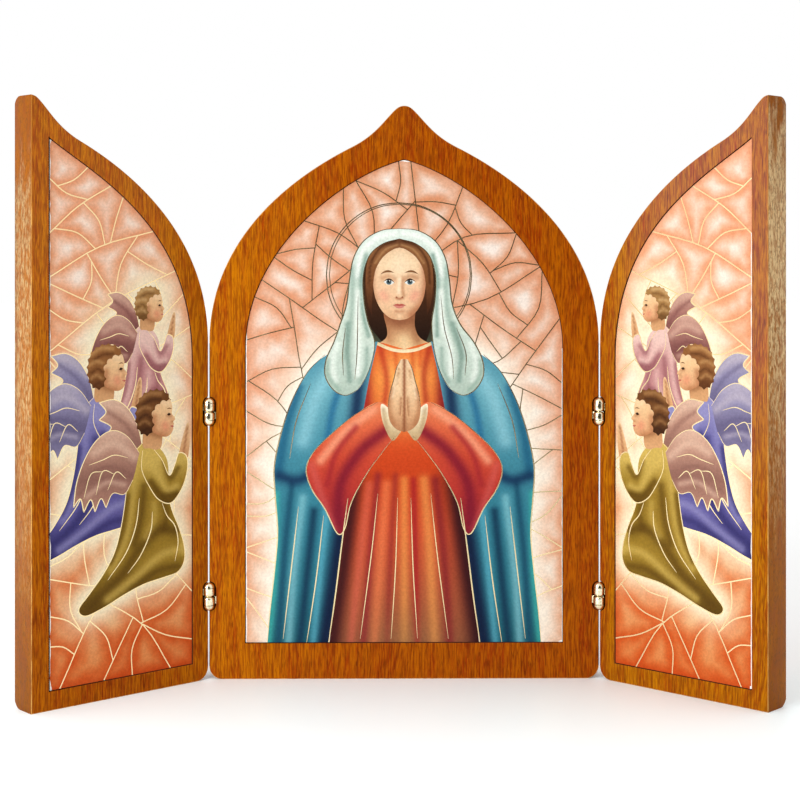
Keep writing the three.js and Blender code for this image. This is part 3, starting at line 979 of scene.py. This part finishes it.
    foil(settle_head, (veil[1:14], 0.5), (veil[:12:-1][1:], 0.4),
        ("20.4,176 21.4,160 23.4,145 24.4,131", 0.36), ("27.4,160 30.4,147 30,133", 0.36))
    foil(settle_hands, ("1.9,149.4 3.8,145.5 5.4,139 7.4,131.5 8.3,124", 0.34))
    foil(np.array, ([(36, 147), *mantle[4:12], (62.5, 12)], 0.5), ("25.6,82 28.5,60 31.5,36 35,12", 0.5),
        ("36.6,74 40,45 44.5,15", 0.4), ("48,78 51,52 55,18", 0.4), ("42.4,134 49,117 52,100", 0.4),
        (sleeve[2:15], 0.42), ("12,84 15,56 20,18", 0.36), ("3,82 4,50 6,18", 0.36))
    return areas


def haloed(areas):
    """A double ring behind the figure's head, in quarters."""
    rings = []
    for x, z, radius, width in HALO:
        for start in range(-90, 270, 90):
            quarter = spline(oval(x, z, radius, radius, range(start, start + 91, 15)))
            rings.append(Area(ribbon(quarter, width), kind="gold"))
    return rings + areas


def bumpy(ring, height, pitch):
    """A closed outline with round bumps, such as curls, along it."""
    ahead = np.roll(ring, -1, axis=0) - ring
    run = np.concatenate([[0], np.cumsum(np.linalg.norm(ahead, axis=1))])[:-1]
    outward = np.column_stack([-ahead[:, 1], ahead[:, 0]])
    outward /= np.maximum(np.linalg.norm(outward, axis=1), 1e-9)[:, None]
    return ring + height * np.abs(np.sin(math.pi * run / pitch))[:, None] * outward


def child(x, z, size, robe, plumage, hair):
    """A kneeling winged child in profile, facing +X, about 100 high before it is sized."""
    areas = []

    def put(path):
        return [(x + size * a, z + size * b) for a, b in knots(path)]

    def add(path, blend, *strokes, curls=None):
        ring = spline(put(path), True)
        if curls:
            ring = bumpy(spline(put(path), True, 14), curls[0] * size, curls[1] * size)
        levels = [(z + size * h, c) for h, c in stops(blend)]
        areas.append(Area(ring, levels, [(put(line), r * size, c, s) for line, r, c, s in strokes]))

    def line(path, width=0.5):
        areas.append(gold(put(path), width))

    dark, mid, light = robe
    shade, feather, tip = plumage
    near_wing = knots("-5,68! -12,77 -21,81 -30,77 -37,68 -42,56 -44,43! -40,47 -38,40! -34,46 "
                      "-31.5,39.5! -28,46 -25,41! -21,48 -14,47 -9,54")
    far_wing = knots("-3,70! -6,82 -12,92 -20,97 -29,96! -25,91 -29,87! -22,83 -25,79! -16,77 -9,70")
    body = knots("-3,73 3,72 8,69 12,63 13,55 12.5,46 15,36 19,27 22.5,17 23,8 19,2 10,0 -2,-2 -14,-6 "
                 "-26,-11 -37,-14 -41,-10 -35,-3 -27,6 -20,17 -16,30 -13.5,44 -12,56 -9,67")
    arm = knots("-3,69 4,69 9,63 13.5,54.5 17,60 19.6,66 24.5,63.5 24.6,55 21,46 14.5,39.5 7,42 1.5,49 "
                "-3.5,59")

    add(far_wing, [(70, shade), (84, feather), (97, tip)], ("-6,74 -14,84 -24,91", 1.3, shade, 0.6),
        ("-8,84 -16,92 -25,95", 1.3, tip, 0.7))
    line(far_wing[1:])
    add(body, [(-14, dark), (10, mid), (44, mid), (66, light), (73, light)],
        ("18,24 8,26 -4,18 -16,4 -34,-9", 3.2, dark, 0.75), ("20,14 8,12 -8,2 -24,-7", 2.6, light, 0.7),
        ("19,5 6,4 -10,-4", 2.0, dark, 0.6), ("-8,62 -9,44 -13,24 -22,8", 2.4, light, 0.6),
        ("-2,50 -4,34 -8,20", 2.4, dark, 0.65), ("4,40 4,32 -1,23", 2.2, light, 0.5),
        ("10,42 12,34 10,26", 2.4, dark, 0.6), ("21,22 22.5,12", 1.8, light, 0.7),
        ("-12,46 -15,28 -22,12", 1.6, dark, 0.6))
    line(body[4:] + body[:1])
    for fold in ("9,40 12,33 17,27 19,18 17,8", "-5,44 -7,30 -13,16 -24,3", "3,36 2,26 -4,14 -12,5"):
        line(fold)
    add(near_wing, [(39, feather), (56, shade), (70, feather), (81, tip)],
        ("-8,66 -20,74 -32,70", 2.6, tip, 0.75), ("-12,58 -22,62 -32,60 -40,50", 1.5, shade, 0.8),
        ("-14,52 -25,54 -36,48", 1.5, tip, 0.6))
    line(near_wing[1:])
    for feathers in ("-13,55 -19,59 -24,50", "-20,58 -27,60 -31,48", "-27,60 -34,59 -38,47",
                     "-12,66 -20,68 -27,66 -35,64"):
        line(feathers, 0.4)
    add("-1,82 8,79 9,73 7,69 -2,70 -3,76", "68:d8a272 76:cf9868 82:b98054",
        ("0,80 5,77 10,76", 2.0, "9a6642", 0.7))
    add("19.6,64 20.6,70 22.4,76 24.6,81.5 26.2,81 26.4,74 26,68 24.6,62.5",
        "62:cf9464 72:e4b07e 82:eec292", ("22.4,65 23.6,72 25,80", 0.7, "9c6240", 0.8))
    add(arm, [(39, dark), (50, mid), (62, light), (70, light)], ("0,64 6,56 12,47 18,48", 2.6, light, 0.8),
        ("2,52 9,44 18,44", 2.0, dark, 0.7), ("10,62 14,53 19,58", 1.6, dark, 0.65))
    line(arm[1:] + arm[:1])
    add("2,97 8,99 13,96.5 15.2,92 15.3,89.2 15,87.6 17.2,84.6 16,83.2 16.4,81.7 15.6,80.7 16,79.3 "
        "14.4,76.6 11,75.3 6,76.8 2,80 0,88", "70:b5764c 80:e2ab7c 90:edc08e 100:e6b284",
        ("10.8,81.5 11.2,80.5", 2.4, "e08868", 0.65),
        ("4,86 4,78 9,75.6", 2.2, "b0704a", 0.7), ("12.6,86.6 14.4,86.2", 1.0, "a9704c", 0.6),
        ("14.8,83.2 15.6,83.4", 0.6, "a8663f", 0.7), ("13,93 10,94", 2.4, "f8d8ac", 0.6))
    add("12,87! 13.2,88 14.6,87.3! 13.4,86.5", "86:4a3020 88:2f2018")
    add("11.8,90 13.4,90.8 15,90.1 13.4,90.2", "89:7c5232")
    add("14,81! 15.4,81.2 16.3,80.7 15.4,80.1", "79:b4564a 82:c46c5c")
    deep, warm, bright = hair
    add("14.6,94.6 13,98.6 9,101 3,101.6 -3,99.4 -6.8,94.6 -8,88 -7.2,82 -4,77.4 1,76.4 3.6,79 4.4,83 "
        "3.4,87 5.2,91 9.4,93.8", [(76, deep), (88, warm), (102, warm)],
        ("-5,96 1,99 8,98.6", 1.3, bright, 0.8), ("-3,93 2,95.4 8,95.4", 0.9, deep, 0.7),
        ("-6,90 -2,92 2,91", 1.0, bright, 0.7), ("-5,86 -1,88 2,86", 0.8, deep, 0.7),
        ("-5,83 -1.6,84.6 1.6,82.6", 0.9, bright, 0.6), ("-3,79 0,80.6 2,79", 0.8, deep, 0.6),
        curls=(1.1, 4.2))
    return areas


OLIVE = ("5a4012", "96762a", "cfae58"), ("8f6458", "b98a76", "dcb49c"), ("3e2414", "6e4526", "a8784a")
VIOLET = ("332f62", "5e5894", "908bba"), ("675f80", "8d86a6", "b8adbc"), ("58321a", "8e5c34", "c4925c")
ROSE = ("8e5458", "c48a88", "e8c0b4"), ("7c4c48", "a87468", "d0a490"), ("6a4626", "a67a48", "d8b07a")


def wing_figures():
    """Three kneeling children on a rising diagonal, facing the hinge side."""
    return child(55, 116, 0.62, *ROSE) + child(33, 73, 0.80, *VIOLET) + child(57, 49, 0.83, *OLIVE)


def cut_up(ring, rng, limit):
    """Slightly bowed cuts that divide an outline again and again until the panes are small."""
    ahead = np.roll(ring, -1, axis=0)
    cross = ring[:, 0] * ahead[:, 1] - ahead[:, 0] * ring[:, 1]
    area = cross.sum() / 2
    if abs(area) < limit * rng.uniform(0.8, 1.5):
        return []
    centre = ((ring + ahead) * cross[:, None]).sum(axis=0) / (6 * area)
    reach = np.linalg.norm(ring - centre, axis=1)
    longest = ring[np.argmax(reach)] - centre
    turn = math.radians(90 + rng.uniform(-16, 16))
    rotation = np.array([[math.cos(turn), -math.sin(turn)], [math.sin(turn), math.cos(turn)]])
    heading = rotation @ longest / reach.max()
    centre = centre + rng.uniform(-0.1, 0.1) * longest
    side = (ring - centre) @ np.array([-heading[1], heading[0]])
    hits = []
    for i in range(len(ring)):
        j = (i + 1) % len(ring)
        if side[i] * side[j] < 0:
            spot = ring[i] + side[i] / (side[i] - side[j]) * (ring[j] - ring[i])
            hits.append(((spot - centre) @ heading, i, spot))
    behind = max((h for h in hits if h[0] <= 0), key=lambda h: h[0], default=None)
    before = min((h for h in hits if h[0] > 0), key=lambda h: h[0], default=None)
    if behind is None or before is None:
        return []
    (_, i, start), (_, j, end) = behind, before
    bow = rng.uniform(-0.14, 0.14) * np.array([start[1] - end[1], end[0] - start[0]])
    line = spline([start, (start + end) / 2 + bow, end], steps=4)
    first = np.roll(ring, -(i + 1), axis=0)[:(j - i) % len(ring)]
    second = np.roll(ring, -(j + 1), axis=0)[:(i - j) % len(ring)]
    return ([line] + cut_up(np.vstack([first, line[::-1]]), rng, limit)
            + cut_up(np.vstack([second, line]), rng, limit))


class Ground:
    """Panes of tinted glass with pale middles, and a glow around the figures; the whole sheet."""

    def __init__(self, outline, seed, pane, tints, glow, figures):
        self.outline = outline
        self.kind = "print"
        self.tints = tints
        self.glow = glow
        self.figures = figures
        self.seed = seed
        self.lines = cut_up(outline, np.random.default_rng(seed), pane)

    def leads(self, width, covers):
        """Foil along the cuts, left out where a figure covers it."""
        made = []
        for line in self.lines:
            line = resampled(line, LEAD_PITCH)
            hidden = np.zeros(len(line) + 1, bool)
            for area in covers:
                hidden[:-1] |= inside(line, area.outline)
            hidden[-1] = True
            start = None
            for i, gone in enumerate(hidden):
                if start is None and not gone:
                    start = max(i - 1, 0)
                elif start is not None and gone:
                    if i - start > 1:
                        made.append(Area(ribbon(line[start:i + 1], width), kind="gold"))
                    start = None
        return made

    def paint(self, points):
        gap = distance(points, closed(self.outline))
        for line in self.lines:
            gap = np.minimum(gap, distance(points, line))
        grain = mottle(points, 2.6, self.seed) + mottle(points, 6.5, self.seed + 1) - 1
        light = (gap / PANE_FADE) ** 1.1 * (0.7 + 0.6 * mottle(points, 14, self.seed + 2)) + 0.30 * grain
        light = np.clip(light, 0, 1)
        heights = [h for h, _, _ in self.tints]
        edge, heart = (blended(points, heights, [colour(tint[n]) for tint in self.tints]) for n in (1, 2))
        result = edge + light[:, None] * (heart - edge)
        reach = np.full(len(points), 1e9)
        for ring in self.figures:
            reach = np.minimum(reach, distance(points, closed(ring)))
        share = np.exp(-(reach / self.glow[0]) ** 1.5) * self.glow[2]
        return result + share[:, None] * (colour(self.glow[1]) - result)


def sheet_front(outline, areas, pitch, fine):
    """A flat sheet whose front is cut along the outlines of its areas and coloured by the topmost."""
    rings = [outline] + [area.outline for area in areas[1:]]
    coords, faces = [], []
    for ring in rings:
        ahead = np.roll(ring, -1, axis=0)
        keep = ring[np.linalg.norm(ahead - ring, axis=1) > SHORTEST]
        keep = resampled(closed(keep), pitch)[:-1]
        x, z = keep[:, 0], keep[:, 1]
        if (x * np.roll(z, -1) - np.roll(x, -1) * z).sum() < 0:
            keep = keep[::-1]
        faces.append(list(range(len(coords), len(coords) + len(keep))))
        coords += keep.tolist()
    low, high = outline.min(axis=0), outline.max(axis=0)
    spots = np.vstack([grid_points(*region) for region in [(low, high, pitch)] + fine])
    spots = spots[inside(spots, outline)]
    spots = spots[distance(spots, closed(outline)) > EDGE_CLEAR]
    coords += spots.tolist()
    made, _, triangles, *_ = delaunay_2d_cdt([Vector(c) for c in coords], [], faces, 0, CUT_MERGE)
    points = np.array([tuple(v) for v in made])
    middles = points[np.array(triangles)].mean(axis=1)
    top = np.where(inside(middles, outline), 0, -1)
    for n, area in enumerate(areas[1:], 1):
        low, high = area.outline.min(axis=0), area.outline.max(axis=0)
        near = np.flatnonzero((top >= 0) & (middles >= low).all(axis=1) & (middles <= high).all(axis=1))
        top[near[inside(middles[near], area.outline)]] = n
    return points, [(t, n) for t, n in zip(triangles, top) if n >= 0]


def grid_points(low, high, pitch):
    """Points in staggered rows."""
    x = np.arange(low[0] + pitch / 2, high[0], pitch)
    z = np.arange(low[1] + pitch / 2, high[1], pitch * ROW_RATIO)
    X, Z = np.meshgrid(x, z)
    X = X + (np.arange(len(z)) % 2)[:, None] * pitch / 2
    return np.column_stack([X.ravel(), Z.ravel()])


# ---- Pictures -----------------------------------------------------------------------------------

DISPLAY_GAMMA = 2.2
KINDS = {"print": 0, "gold": 1, "paper": 2}


def picture(name, recess, areas, fine, sign, turn):
    """A printed sheet in its recess; sign -1 mirrors a drawing made for the other wing."""
    outline = shrunk(recess, PICTURE_PLAY)
    points, triangles = sheet_front(outline, areas, SHEET_PITCH, fine)
    face, rear = FRONT + PICTURE_SETBACK, FRONT + PICTURE_SETBACK + PICTURE_THICKNESS
    bm = bmesh.new()
    verts = [bm.verts.new((sign * x, face, z)) for x, z in points]
    ink = bm.loops.layers.float_color.new("print")
    painted = {}
    for corners, top in triangles:
        ends = list(dict.fromkeys(corners[::sign]))
        if len(ends) < 3:
            continue
        made = bm.faces.new([verts[i] for i in ends])
        made.material_index = KINDS[areas[top].kind]
        painted.setdefault(top, []).append((made, ends))
    for top, faces in painted.items():
        if areas[top].kind != "print":
            continue
        used = sorted({i for _, ends in faces for i in ends})
        tones = dict(zip(used, np.clip(areas[top].paint(points[used]), 0, 1) ** DISPLAY_GAMMA))
        for made, ends in faces:
            for loop, i in zip(made.loops, ends):
                loop[ink] = (*tones[i], 1)
    rim = [edge for edge in bm.edges if edge.is_boundary]
    spread = bmesh.ops.extrude_edge_only(bm, edges=rim)["geom"]
    for one in spread:
        if isinstance(one, bmesh.types.BMVert):
            one.co.y = rear
    back = bmesh.ops.edgeloop_fill(bm, edges=[e for e in bm.edges if e.is_boundary])["faces"]
    for one in spread + back:
        if isinstance(one, bmesh.types.BMFace):
            one.material_index = KINDS["paper"]
    loose = [v for v in bm.verts if not v.link_faces]
    bmesh.ops.delete(bm, geom=loose, context="VERTS")
    piece = finish_mesh(name, bm, *SHEET_FINISHES)
    settle(piece, turn)
    return piece


def print_outline(recess):
    """The sheet's edge, its lowest and its highest corner."""
    outline = shrunk(recess, PICTURE_PLAY)
    return outline, outline.min(axis=0), outline.max(axis=0)


def frayed(start, end, width, seed):
    """A pale worn strip along an edge of the sheet, of uneven width, on the left of its heading."""
    start, end = np.array(start, float), np.array(end, float)
    length = np.linalg.norm(end - start)
    ahead = (end - start) / length
    across = np.array([-ahead[1], ahead[0]])
    rng = np.random.default_rng(seed)
    steps = np.linspace(0, 1, max(int(length / FRAY_PITCH), 3))
    inner = [start + t * (end - start) + across * width * rng.uniform(0.45, 1.3) for t in steps]
    return Area(np.vstack([start - across, inner, end - across]), kind="paper")


def chip(corner, reach, seed):
    """A small torn patch of bare paper around a corner of the sheet."""
    rng = np.random.default_rng(seed)
    return Area([(corner[0] + reach[0] * rng.uniform(0.6, 1.2) * math.cos(a),
                  corner[1] + reach[1] * rng.uniform(0.6, 1.2) * math.sin(a))
                 for a in np.radians(range(0, 360, 24))], kind="paper")


def centre_print():
    """The centre sheet's areas, from the ground up to the wear along its edges."""
    outline, low, high = print_outline(centre_recess())
    figure = centre_figure()
    glowing = [a.outline for a in printed(figure)[3:7]]
    tints = (16, "d8865a", "eed8c4"), (120, "de9672", "f2e0d2"), (236, "d48c64", "f4e4d8")
    ground = Ground(outline, 11, PANE_AREAS["centre"], tints, (9, "fdf2e0", 0.95), glowing)
    spring = CENTRE_RECESS["spring"]
    wear = [frayed((low[0], spring + 20), low, 0.5, 1), frayed((high[0], low[1]), (high[0], spring), 0.3, 3),
            chip((high[0], low[1]), (1.6, 1.0), 4), chip((0, high[1]), (5, 0.9), 5)]
    return [ground] + ground.leads(LEAD_WIDTHS["centre"], printed(figure)) + haloed(figure) + wear


def wing_print():
    """The ground and figures of the left wing's sheet; the right one is its mirror image."""
    outline, _, _ = print_outline(wing_recess())
    figures = wing_figures()
    glowing = [a.outline for a in printed(figures) if len(a.strokes) > 2]
    tints = ((8, "ca4c1a", "dc8248"), (50, "d4602c", "e8a06a"), (110, "e8986a", "fbdfca"),
             (242, "ea9a70", "ffecde"))
    ground = Ground(outline, 5, PANE_AREAS["wing"], tints, (8, "fdf0cc", 0.95), glowing)
    return [ground] + ground.leads(LEAD_WIDTHS["wing"], printed(figures)) + figures


def wing_wear(side):
    """Bare paper and, on the left, a dark strip painted along the sheet's outer edge as the shade of the gap.
    """
    _, low, high = print_outline(wing_recess())
    top = (low[0], high[1])
    if side == "right":
        return [frayed((low[0], high[1] - 40), low, 0.42, 6), chip(low, (1.2, 1.8), 8)]
    # Painted shade: a dark strip along the outer edge, where the gap beside the sheet lies in shadow.
    left, right = low[0] - 1, low[0] + 0.5
    shade = Area([(left, low[1] - 1), (right, low[1] - 1), (right, high[1] + 1), (left, high[1] + 1)],
                 "0:20181e 250:1a1c2c")
    return [frayed(top, low, 0.8, 6), chip(low, (1.8, 2.4), 8), chip(top, (1.6, 3.0), 10), shade]


# ---- Assembly -----------------------------------------------------------------------------------

def place(piece, body, node, slot):
    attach(piece, body)
    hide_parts(node)


place(make_centre_board(), "centre", "centre_board", "board_wood")
sheet = picture("centre_print", centre_recess(), centre_print(), [(*FACE_REGION, FACE_PITCH)], 1, UNTURNED)
place(sheet, "centre", "centre_picture", "picture_print")

wing_areas = wing_print()
for side, sign in SIDES.items():
    wing = f"{side}_wing"
    place(make_wing_board(side), wing, f"{wing}_board", "board_wood")
    areas = wing_areas + wing_wear(side)
    sheet = picture(f"{wing}_print", wing_recess(), areas, [], -sign, wing_turn(sign))
    place(sheet, wing, f"{wing}_picture", "picture_print")
    axis, swing = hinge_axis(sign), wing_swing(sign)
    offset = (KNUCKLE_LENGTH + SEAM) / 2
    for level, height in HINGE_HEIGHTS.items():
        name = f"{side}_{level}_hinge"
        lower, middle, upper = (Matrix.Translation((0, 0, height + step)) for step in (-offset, 0, offset))
        for piece, node, body in (
            (make_leaf(name + "_lower_knuckle", sign, 1, axis @ lower), "centre_leaf", "centre"),
            (make_leaf(name + "_upper_knuckle", -sign, -1, axis @ swing @ upper), "wing_leaf", wing),
            (make_pin(name + "_domed_pin", axis @ middle), "pin", "centre"),
        ):
            place(piece, body, f"{name}_{node}", "hinge_brass")


# ---- Stage --------------------------------------------------------------------------------------

def make_floor():
    """A pale floor, cooler in front of the boards to offset their warm bounce light, with a faint painted
    glow away from them.
    """
    bm = bmesh.new()
    bmesh.ops.create_grid(bm, x_segments=1, y_segments=1, size=FLOOR_SPAN)
    for v in bm.verts:
        v.co.y = FLOOR_FRONT if v.co.y < 0 else FLOOR_REAR
    f = Finish("pale_floor", 0.45, gloss=0.25)
    spot = f.node("TexCoord", "Object")
    deep, dust = f.axis(spot, "Y"), f.noise(spot, 40, 40, 40)
    # Painted glow: faint beside the boards, stronger in front of them and far behind.
    f.plug(f.shader.inputs["Emission Color"], (1.0, 1.0, 1.0))
    f.plug(f.shader.inputs["Emission Strength"],
           f.math("ADD", f.step(deep, 0.15, 1.2, 0.0, 0.12), f.step(deep, 0.0, -0.12, 0.03, 0.09)))
    # Cooler tint in front of the boards, offsetting their warm bounce light.
    front = f.mix(dust, (0.90, 0.975, 0.985), (0.92, 0.99, 1.0))
    rear = f.mix(dust, (0.95, 0.955, 0.95), (0.97, 0.975, 0.97))
    finish_mesh("floor", bm, f.finish(f.mix(f.step(deep, -0.03, 0.03), front, rear)))


def make_world():
    """White all round, with a dark opening where the photographer would stand."""
    world = bpy.data.worlds.new("studio")
    world.use_nodes = True
    w = Nodes(world.node_tree)
    ray = w.node("TexCoord", "Generated")
    facing = w.node("VectorMath", "Value", {0: ray, 1: (0, -1, 0)}, operation="DOT_PRODUCT")
    seen = w.step(facing, OPENING_EDGE, OPENING_HEART, 1.0, OPENING_LEVEL)
    background = w.tree.nodes["Background"]
    w.plug(background.inputs["Color"], (1, 1, 1))
    w.plug(background.inputs["Strength"], w.math("MAXIMUM", seen, w.node("LightPath", "Is Camera Ray")))
    bpy.context.scene.world = world


def add_key_light():
    light = bpy.data.lights.new("key", "AREA")
    light.shape = "RECTANGLE"
    light.size, light.size_y = KEY_SIZE
    light.energy = KEY_POWER
    lamp = link("key", light)
    lamp.location = KEY_PLACE
    lamp.rotation_euler = (Vector(KEY_TARGET) - Vector(KEY_PLACE)).to_track_quat("-Z", "Y").to_euler()


def add_camera():
    camera = bpy.data.cameras.new("camera")
    camera.lens, camera.sensor_width, camera.clip_start = LENS, SENSOR, 0.01
    camera.shift_x, camera.shift_y = SHIFT
    holder = link("camera", camera)
    holder.location = CAMERA_PLACE
    holder.rotation_euler = (math.radians(90), 0, math.radians(CAMERA_HEADING))
    bpy.context.scene.camera = holder


make_floor()
make_world()
add_key_light()
add_camera()
bpy.context.scene.view_settings.view_transform = "Standard"
